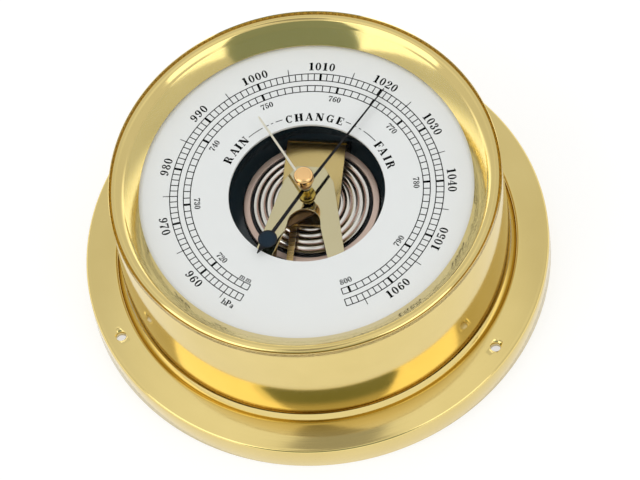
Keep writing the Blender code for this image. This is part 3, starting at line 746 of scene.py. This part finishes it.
def make_hand(name, outline, clock, height_at, thick, slot, body, node, look=None):
    """A thin hand: its points are (along, across) from the axis, and height_at gives its underside."""
    angle = math.radians(90.0 - clock)
    mesh = slab(outline, 0.0, 0.0)
    for index, vert in enumerate(mesh.verts):
        along = vert.co.x / MM
        across = vert.co.y / MM
        lift = thick if index >= len(outline) else 0.0
        x = along * math.cos(angle) - across * math.sin(angle)
        y = along * math.sin(angle) + across * math.cos(angle)
        vert.co = Vector((x, y, height_at(along) + lift)) * MM
    mesh.normal_update()
    bmesh.ops.triangulate(mesh, faces=mesh.faces)
    piece(name, mesh, slot, body, node, sharp=30.0, look=look)


def mirrored(upper):
    """The lower half of a hand's outline, from its upper half."""
    return [(along, -across) for along, across in reversed(upper)]


def pointer_height(along):
    """The pointer droops from its hub towards its tip and towards its counterweight."""
    return 48.5 - 0.034 * max(along, 0.0) + 0.06 * min(along, 0.0)


def set_hand_height(along):
    """The set hand droops from its hub towards both ends."""
    return 50.3 - 0.042 * abs(along)


def make_pointer():
    """Blued pointer with its disc counterweight, which tapers to both ends."""
    hub = arc((0.0, 0.0), HUB_RADIUS, 18.0, 162.0, 24)
    disc = arc((DISC_PLACE, 0.0), DISC_RADIUS, 11.0, 162.0, 24)
    upper = [(POINTER_TIP, 0.16)] + hub + disc + [(POINTER_TAIL, 0.12)]
    make_hand("blued_pointer", upper + mirrored(upper), POINTER_CLOCK, pointer_height, POINTER_THICK,
              "blued_steel", "pointer_assembly", "pointer", blade_and_disc())


def make_set_hand():
    """Pale gold hand under the knob."""
    hub = arc((0.0, 0.0), SET_HUB_RADIUS, 11.0, 180.0, 24)
    upper = [(SET_HAND_TIP, 0.16), (SET_HAND_TIP - 0.9, 0.32)] + hub
    outline = upper + mirrored(upper[:-1])
    gold = metal("pale_gold", (0.84, 0.80, 0.68), (0.76, 0.71, 0.58),
                 0.25, 0.35, cast(), 5000.0, 0.003)
    make_hand("gold_set_hand", outline, SET_HAND_CLOCK, set_hand_height, SET_HAND_THICK, "spring_gold",
              "set_hand_assembly", "set_hand", gold)


def make_knob():
    """Domed knob with a soft edge."""
    top = high("set_knob").z
    foot = low("set_knob").z
    edge = high("set_knob").x
    dome = [(0.0, top), (1.0, top), (1.9, top - 0.03)] + arc((1.95, top - 1.2), 1.17, 85.0, 10.0, 8)
    side = [(edge, top - 1.3), (edge, foot + 0.4), (edge - 0.12, foot + 0.12),
            (edge - 0.4, foot), (1.2, foot), (1.2, 56.3), (0.0, 56.3)]
    piece("knob", spin(dome + side, MEDIUM), "knob_copper", "set_hand_assembly", "set_knob", sharp=50.0)


def make_collet():
    """The pointer's collet: a stem that widens into a disc at its foot."""
    collet = [(0.8, 48.1, 0.0), (1.1, 48.1, 0.1), (1.1, 44.6, 0.0), (2.7, 44.5, 0.15),
              (2.7, 44.0, 0.1), (0.8, 44.0, 0.0)]
    # A darker brass than the case's, for the collet
    darker_brass = metal("collet_darker_brass", (0.46, 0.33, 0.07), (0.38, 0.27, 0.05),
                 0.14, 0.24, turned(), 2500.0, 0.002)
    piece("collet", spin(rounded(collet), MEDIUM), "polished_brass", "pointer_assembly",
          "pointer_collet", look=darker_brass)


# The dial's print: every stroke is a strip of (left, right) point pairs in units of the cap height

STEM = 0.26                    # thick strokes of the figures and of the words, and thin strokes
WORD_STEM = 0.29
HAIR = 0.085


def bar(x0, y0, x1, y1, width):
    """A straight stroke."""
    along = Vector((x1 - x0, y1 - y0)).normalized()
    side = Vector((-along.y, along.x)) * width / 2.0
    return [(Vector((x, y)) + side, Vector((x, y)) - side) for x, y in ((x0, y0), (x1, y1))]


def sweep(points, steps=6):
    """A smooth stroke through (x, y, width) points."""
    ends = [points[0]] + points + [points[-1]]
    line = []
    for first, second, third, fourth in zip(ends, ends[1:], ends[2:], ends[3:]):
        for step in range(steps):
            part = step / steps
            line.append([catmull(*values, part) for values in zip(first, second, third, fourth)])
    line.append(list(points[-1]))
    pairs = []
    for index, (x, y, width) in enumerate(line):
        before = line[max(index - 1, 0)]
        after = line[min(index + 1, len(line) - 1)]
        along = Vector((after[0] - before[0], after[1] - before[1])).normalized()
        side = Vector((-along.y, along.x)) * width / 2.0
        pairs.append((Vector((x, y)) + side, Vector((x, y)) - side))
    return pairs


def catmull(before, start, end, after, part):
    """A value part of the way from start to end, on a smooth curve through all four."""
    return 0.5 * (2.0 * start + (end - before) * part
                  + (2.0 * before - 5.0 * start + 4.0 * end - after) * part ** 2
                  + (3.0 * start - before - 3.0 * end + after) * part ** 3)


def bowl(x, y, wide, tall, side, start=0.0, end=360.0, thin=HAIR):
    """Part of an elliptical ring, thick at its sides and thin at its top and bottom."""
    steps = max(4, int(abs(end - start) / 15.0))
    outer = arc((0.0, 0.0), 1.0, start, end, steps)
    return [(Vector((x + a * (wide - side), y + b * (tall - thin))),
             Vector((x + a * wide, y + b * tall))) for a, b in outer]


def dot(x, y, radius):
    """A round dot, all but filled."""
    return bowl(x, y, radius, radius, radius * 0.96, thin=radius * 0.96)


def serif(x, y, width):
    """A hairline foot or cap on a stem."""
    lift = HAIR / 2.0 if y < 0.5 else -HAIR / 2.0
    return bar(x - width / 2.0, y + lift, x + width / 2.0, y + lift, HAIR)


def turn_over(strips, width):
    """The strips turned half round, as a 9 is to a 6."""
    middle = Vector((width, 1.0))
    return [[(middle - left, middle - right) for left, right in strip] for strip in strips]


SIX = [bowl(0.34, 0.30, 0.30, 0.30, 0.19), dot(0.54, 0.84, 0.10),
       sweep([(0.14, 0.32, 0.18), (0.17, 0.62, 0.18), (0.32, 0.88, 0.10), (0.54, 0.95, 0.05)])]

# Each glyph has its width and its strips
GLYPHS = {
    "0": (0.68, [bowl(0.34, 0.5, 0.32, 0.5, 0.2)]),
    "1": (0.68, [bar(0.36, 0.0, 0.36, 1.0, STEM), serif(0.36, 0.0, 0.5),
                 bar(0.12, 0.86, 0.30, 0.965, HAIR)]),
    "2": (0.68, [dot(0.17, 0.72, 0.12), bar(0.05, 0.085, 0.60, 0.085, 0.17),
                 bar(0.605, 0.0, 0.635, 0.30, HAIR),
                 sweep([(0.07, 0.76, 0.05), (0.16, 0.93, 0.06), (0.36, 0.965, 0.07),
                        (0.54, 0.74, 0.21), (0.40, 0.46, 0.12), (0.18, 0.24, 0.06),
                        (0.07, 0.10, 0.06)])]),
    "3": (0.68, [dot(0.16, 0.76, 0.11), bowl(0.31, 0.76, 0.26, 0.24, 0.18, -90.0, 150.0),
                 bowl(0.30, 0.28, 0.33, 0.28, 0.21, -150.0, 90.0), dot(0.15, 0.24, 0.12)]),
    "4": (0.68, [bar(0.46, 0.98, 0.04, 0.30, HAIR), bar(0.03, 0.29, 0.66, 0.29, 0.06),
                 bar(0.46, 0.0, 0.46, 1.0, 0.19), serif(0.46, 0.0, 0.38)]),
    "5": (0.68, [bar(0.13, 0.92, 0.60, 0.92, 0.15), bar(0.14, 0.50, 0.14, 0.98, HAIR),
                 bowl(0.31, 0.32, 0.32, 0.32, 0.21, -150.0, 140.0), dot(0.15, 0.24, 0.12)]),
    "6": (0.68, SIX),
    "7": (0.68, [bar(0.06, 0.91, 0.64, 0.91, 0.17), bar(0.07, 0.68, 0.07, 0.98, HAIR),
                 sweep([(0.61, 0.86, 0.05), (0.42, 0.54, 0.12), (0.31, 0.24, 0.22),
                        (0.31, 0.0, 0.24)])]),
    "8": (0.68, [bowl(0.34, 0.76, 0.26, 0.24, 0.16), bowl(0.34, 0.27, 0.31, 0.27, 0.19)]),
    "9": (0.68, turn_over(SIX, 0.68)),
    "A": (0.90, [bar(0.42, 0.98, 0.12, 0.0, HAIR), bar(0.42, 1.0, 0.74, 0.0, 0.23),
                 bar(0.20, 0.32, 0.62, 0.32, HAIR), serif(0.12, 0.0, 0.28), serif(0.72, 0.0, 0.40)]),
    "C": (0.84, [bowl(0.42, 0.5, 0.40, 0.5, 0.22, 42.0, 318.0), bar(0.74, 0.66, 0.74, 1.0, 0.07)]),
    "E": (0.80, [bar(0.20, 0.0, 0.20, 1.0, WORD_STEM), serif(0.38, 0.0, 0.70), serif(0.38, 1.0, 0.70),
                 bar(0.20, 0.5, 0.52, 0.5, HAIR), bar(0.52, 0.36, 0.52, 0.64, 0.07),
                 bar(0.71, 0.70, 0.71, 1.0, 0.07), bar(0.71, 0.0, 0.71, 0.30, 0.07)]),
    "F": (0.76, [bar(0.20, 0.0, 0.20, 1.0, WORD_STEM), serif(0.20, 0.0, 0.42), serif(0.38, 1.0, 0.70),
                 bar(0.20, 0.5, 0.52, 0.5, HAIR), bar(0.52, 0.36, 0.52, 0.64, 0.07),
                 bar(0.71, 0.70, 0.71, 1.0, 0.07)]),
    "G": (0.90, [bowl(0.42, 0.5, 0.40, 0.5, 0.22, 42.0, 318.0), bar(0.74, 0.66, 0.74, 1.0, 0.07),
                 bar(0.70, 0.02, 0.70, 0.44, 0.20), bar(0.54, 0.44, 0.86, 0.44, HAIR)]),
    "H": (0.94, [bar(0.20, 0.0, 0.20, 1.0, WORD_STEM), bar(0.74, 0.0, 0.74, 1.0, WORD_STEM),
                 bar(0.20, 0.5, 0.74, 0.5, HAIR), serif(0.20, 0.0, 0.42), serif(0.20, 1.0, 0.42),
                 serif(0.74, 0.0, 0.42), serif(0.74, 1.0, 0.42)]),
    "I": (0.42, [bar(0.21, 0.0, 0.21, 1.0, WORD_STEM), serif(0.21, 0.0, 0.42), serif(0.21, 1.0, 0.42)]),
    "N": (0.94, [bar(0.15, 0.0, 0.15, 1.0, HAIR), bar(0.16, 0.96, 0.74, 0.04, WORD_STEM),
                 bar(0.78, 0.0, 0.78, 1.0, HAIR), serif(0.15, 0.0, 0.30), serif(0.14, 1.0, 0.30),
                 serif(0.78, 1.0, 0.30)]),
    "P": (0.76, [bar(0.20, 0.0, 0.20, 1.0, 0.22), serif(0.20, 0.0, 0.42), serif(0.22, 1.0, 0.44),
                 bar(0.20, 0.46, 0.42, 0.46, HAIR), bowl(0.40, 0.71, 0.30, 0.27, 0.20, -90.0, 90.0)]),
    "R": (0.90, [bar(0.20, 0.0, 0.20, 1.0, WORD_STEM), serif(0.20, 0.0, 0.42), serif(0.22, 1.0, 0.44),
                 bar(0.20, 0.50, 0.44, 0.50, HAIR), bowl(0.42, 0.74, 0.30, 0.26, 0.21, -90.0, 90.0),
                 sweep([(0.46, 0.50, 0.10), (0.62, 0.36, 0.23), (0.66, 0.14, 0.20),
                        (0.86, 0.04, 0.06)])]),
    "a": (0.56, [bowl(0.22, 0.17, 0.20, 0.18, 0.13), bar(0.38, 0.0, 0.38, 0.52, 0.15),
                 bowl(0.26, 0.44, 0.20, 0.18, 0.12, 0.0, 160.0), dot(0.12, 0.46, 0.07)]),
    "h": (0.72, [bar(0.16, 0.0, 0.16, 1.0, 0.16), bar(0.54, 0.0, 0.54, 0.44, 0.16),
                 bowl(0.38, 0.42, 0.24, 0.20, 0.16, 0.0, 180.0), serif(0.16, 0.0, 0.32),
                 serif(0.54, 0.0, 0.30)]),
    "m": (1.06, [bar(0.16, 0.0, 0.16, 0.62, 0.16), bar(0.52, 0.0, 0.52, 0.44, 0.16),
                 bar(0.88, 0.0, 0.88, 0.44, 0.16), bowl(0.36, 0.42, 0.24, 0.20, 0.16, 0.0, 180.0),
                 bowl(0.72, 0.42, 0.24, 0.20, 0.16, 0.0, 180.0), serif(0.16, 0.0, 0.30),
                 serif(0.52, 0.0, 0.30), serif(0.88, 0.0, 0.30)]),
}


def print_strip(mesh, pairs, place, closed=False):
    """Raise one strip of ink: place turns a flat point into (x, y) on the dial."""
    sections = []
    for left, right in pairs:
        section = []
        for point, height in ((left, DIAL_TOP), (left, DIAL_TOP + INK),
                              (right, DIAL_TOP + INK), (right, DIAL_TOP)):
            x, y = place(point)
            section.append(mesh.verts.new(Vector((x, y, height)) * MM))
        sections.append(section)
    followers = sections[1:] + (sections[:1] if closed else [])
    for first, second in zip(sections, followers):
        for step in range(4):
            after = (step + 1) % 4
            mesh.faces.new([first[step], first[after], second[after], second[step]])
    if not closed:
        mesh.faces.new(sections[0])
        mesh.faces.new(sections[-1][::-1])


def is_closed(strip):
    """Whether a strip's ends meet, as a full ring's do."""
    return (strip[0][0] - strip[-1][0]).length < 1e-6


def print_glyph(mesh, letter, radius, clock, height, tops_out=True):
    """Print one glyph, centred at a radius and a clock angle."""
    width, strips = GLYPHS[letter]
    angle = math.radians(clock)
    outward = Vector((math.sin(angle), math.cos(angle)))
    rightward = Vector((math.cos(angle), -math.sin(angle)))
    if not tops_out:
        outward = -outward
        rightward = -rightward
    centre = Vector(clock_point(radius, clock))

    def place(point):
        return centre + rightward * (point.x - width / 2.0) * height + outward * (point.y - 0.5) * height

    for strip in strips:
        closed = is_closed(strip)
        print_strip(mesh, strip[:-1] if closed else strip, place, closed)


def print_line(mesh, text, radius, clock, height, advance, tops_out=True):
    """Print a short line of glyphs along an arc, centred on a clock angle."""
    step = math.degrees(advance / radius)
    if not tops_out:
        step = -step
    start = clock - step * (len(text) - 1) / 2.0
    for index, letter in enumerate(text):
        print_glyph(mesh, letter, radius, start + step * index, height, tops_out)


def print_arc(mesh, radius, width, start, end):
    """Print a thin line along part of a circle."""
    steps = max(1, int(abs(end - start) / 1.5))
    pairs = []
    for step in range(steps + 1):
        clock = start + (end - start) * step / steps
        pairs.append((Vector(clock_point(radius + width / 2.0, clock)),
                      Vector(clock_point(radius - width / 2.0, clock))))
    print_strip(mesh, pairs, lambda point: point)


def print_tick(mesh, inner, outer, width, clock):
    """Print a radial line."""
    first = Vector(clock_point(inner, clock))
    second = Vector(clock_point(outer, clock))
    pairs = bar(first.x, first.y, second.x, second.y, width)
    print_strip(mesh, pairs, lambda point: point)


def hpa_clock(pressure):
    """The clock angle of a pressure in hectopascals."""
    return (pressure - UPRIGHT_HPA) * DEGREES_PER_HPA


def mmhg_clock(height):
    """The clock angle of a pressure in millimetres of mercury."""
    return hpa_clock(height * HPA_PER_MM)


def print_band(mesh, scale, clock_of):
    """Print a scale's band of cells, with a thick tick at each ten."""
    first, last = scale["cells"]
    for value in range(first, last + 1):
        width = TEN_LINE if value % 10 == 0 else BAND_LINE
        print_tick(mesh, *scale["band"], width, clock_of(value))
    for radius in scale["band"]:
        print_arc(mesh, radius, BAND_LINE, clock_of(first), clock_of(last))


def print_numbers(mesh, scale, clock_of):
    """Print a scale's numbers; those outside its upright range are turned half round."""
    first, last = scale["numbers"]
    start, end = scale["upright"]
    for value in range(first, last + 1, 10):
        print_line(mesh, str(value), scale["radius"], clock_of(value), scale["height"],
                   scale["advance"], start <= value <= end)


def print_scales(mesh):
    """Both scales: hectopascals outside, millimetres of mercury inside."""
    print_band(mesh, HPA_SCALE, hpa_clock)
    print_band(mesh, MM_SCALE, mmhg_clock)
    outer = HPA_SCALE["band"][1]
    first, last = HPA_SCALE["numbers"]
    for value in range(first - 5, last + 6, 10):
        print_tick(mesh, outer, outer + FIVE_LENGTH, FIVE_LINE, hpa_clock(value))
    print_numbers(mesh, HPA_SCALE, hpa_clock)
    print_numbers(mesh, MM_SCALE, mmhg_clock)
    print_line(mesh, "hPa", 46.5, UNITS_CLOCK, 2.2, 1.5, False)
    print_line(mesh, "mm", 36.0, UNITS_CLOCK, 1.9, 2.3, False)


def print_words(mesh):
    """The weather words, letter by letter, with the dashes between them."""
    for word, (radius, clocks) in WORDS.items():
        for letter, clock in zip(word, clocks):
            print_glyph(mesh, letter, radius, clock, WORD_HEIGHT)
    for start, end in DASHES:
        print_arc(mesh, DASH_RADIUS, DASH_LINE, start, end)


def make_print():
    """All of the dial's print, in one piece."""
    mesh = bmesh.new()
    print_scales(mesh)
    print_words(mesh)
    ink = plain("ink", (0.004, 0.004, 0.004), (0.002, 0.002, 0.002),
                0.6, 0.8, 3000.0, 0.001, gloss=0.0)
    piece("dial_print", mesh, "black_lacquer", "case", sharp=30.0, look=ink)


# The studio

def step_up(sky, value, fade, depth=1.0):
    """A soft step from 0 to a depth, over the two ends of a fade."""
    return sky.span(value, 0.0, depth, *fade, "SMOOTHSTEP")


def step_down(sky, value, fade, depth=1.0):
    """A soft step from a depth to 0, over the two ends of a fade."""
    return sky.span(value, depth, 0.0, *fade, "SMOOTHSTEP")


def cone(sky, direction, angles, depth=1.0):
    """How far the view lies inside a cone about a direction."""
    along = sky.vector("DOT_PRODUCT", sky.place, Vector(direction).normalized())
    return step_up(sky, along, [math.cos(math.radians(angle)) for angle in angles], depth)


def dim_card(sky, height):
    """A card in front of the object, cut off level above and below."""
    lower = sky.maths("MULTIPLY", cone(sky, CARD_DIRECTION, CARD_ANGLES), step_down(sky, height, CARD_HEAD))
    return sky.maths("MULTIPLY", lower, step_up(sky, height, CARD_FOOT))


def overhead_oval(sky, height):
    """A dim oval above the object."""
    squeezed = sky.vector("MULTIPLY_ADD", sky.place, OVAL_SQUEEZE, OVAL_SHIFT)
    oval = step_down(sky, sky.vector("LENGTH", squeezed), OVAL_EDGE, OVAL_DEPTH)
    return sky.maths("MULTIPLY", oval, step_up(sky, height, OVAL_FOOT))


def make_world():
    """White all round, brighter at the horizon and the zenith, with a dim card and a dim oval."""
    world = bpy.data.worlds.new("studio")
    bpy.context.scene.world = world
    world.use_nodes = True
    sky = Graph(world.node_tree, "Generated")
    background = sky.tree.nodes["Background"]
    height = sky.separate(sky.place)["Z"]
    zenith = cone(sky, ZENITH_DIRECTION, ZENITH_ANGLES, ZENITH_GLOW)
    glow = sky.maths("ADD", step_down(sky, height, HORIZON_FADE, HORIZON_GLOW), zenith)
    bright = sky.maths("ADD", SKY_STRENGTH, glow)
    sky.feed(background.inputs["Color"], sky.blend(dim_card(sky, height), WHITE, CARD_COLOUR))
    sky.feed(background.inputs["Strength"], sky.maths("SUBTRACT", bright, overhead_oval(sky, height)))


def make_lights():
    """Two soft boxes, left and right of the camera."""
    for name, (place, size, power) in SOFT_BOXES.items():
        light = bpy.data.lights.new(name, "AREA")
        light.energy = power
        light.size = size
        lamp = bpy.data.objects.new(name, light)
        lamp.location = place
        lamp.rotation_euler = (-Vector(place)).to_track_quat("-Z", "Y").to_euler()
        bpy.context.collection.objects.link(lamp)


def make_floor():
    """Pale floor that glows a little, so that it reads as white paper."""
    mesh = bmesh.new()
    bmesh.ops.create_grid(mesh, x_segments=1, y_segments=1, size=FLOOR_HALF)
    floor = to_object("floor", mesh, 30.0)
    nodes = Nodes("paper")
    fibres = nodes.noise(nodes.place, 30.0)
    nodes.feed(nodes.shader.inputs["Base Color"],
               nodes.blend(fibres, (0.41, 0.41, 0.41), (0.39, 0.39, 0.39)))
    nodes.shader.inputs["Roughness"].default_value = 0.9
    nodes.shader.inputs["Emission Color"].default_value = (*WHITE, 1.0)
    nodes.shader.inputs["Emission Strength"].default_value = FLOOR_GLOW
    floor.data.materials.append(nodes.material)


def make_camera():
    """A long lens that looks down at the dial, tilted a little about its own axis."""
    azimuth = math.radians(CAMERA_AZIMUTH)
    elevation = math.radians(CAMERA_ELEVATION)
    roll = math.radians(CAMERA_ROLL)
    back = Vector((math.sin(azimuth) * math.cos(elevation), -math.cos(azimuth) * math.cos(elevation),
                   math.sin(elevation)))
    level = Vector((math.cos(azimuth), math.sin(azimuth), 0.0))
    upright = back.cross(level)
    right = level * math.cos(roll) + upright * math.sin(roll)
    up = upright * math.cos(roll) - level * math.sin(roll)
    place = Vector((0.0, 0.0, DIAL_TOP * MM)) + back * CAMERA_DISTANCE
    place += right * CAMERA_OFFSET[0] + up * CAMERA_OFFSET[1]
    data = bpy.data.cameras.new("camera")
    data.lens = CAMERA_LENS
    data.sensor_width = CAMERA_SENSOR
    data.clip_end = CAMERA_REACH
    camera = bpy.data.objects.new("camera", data)
    matrix = Matrix((right, up, back)).transposed().to_4x4()
    matrix.translation = place
    camera.matrix_world = matrix
    bpy.context.collection.objects.link(camera)
    bpy.context.scene.camera = camera


def dress_frame():
    """Give every CAD node that still shows the material of its slot; the gears below the top plate get a
    dark brown brass as painted shade.
    """
    # Dark brown brass painted as the shade below the top plate
    shade_painted_brass = metal("brass_in_painted_shade", (0.20, 0.12, 0.055), (0.12, 0.07, 0.03),
                   0.30, 0.42, cast(), 5000.0, 0.004)
    for entry in frame["record"]["subparts"]:
        node = frame["nodes"][entry["node"]]
        look = shade_painted_brass if entry["node"] in PAINTED_SHADE_NODES else looks[entry["material_slot"]]
        node.data.materials.clear()
        node.data.materials.append(look)


def main():
    """Dress the CAD, make the pieces and set up the studio."""
    dress_frame()
    make_flange()
    make_drum()
    make_bezel()
    make_sight_ring()
    make_crystal()
    make_dial()
    make_print()
    make_back()
    for number in (1, 2, 3):
        make_screw(f"back_cover_screw_{number}")
        make_screw(f"movement_screw_{number}")
    make_top_plate()
    make_strap()
    make_diaphragm()
    make_joint()
    make_copper_rim()
    make_pointer()
    make_set_hand()
    make_knob()
    make_collet()
    make_world()
    make_lights()
    make_floor()
    make_camera()
    bpy.context.scene.view_settings.view_transform = "Standard"


main()
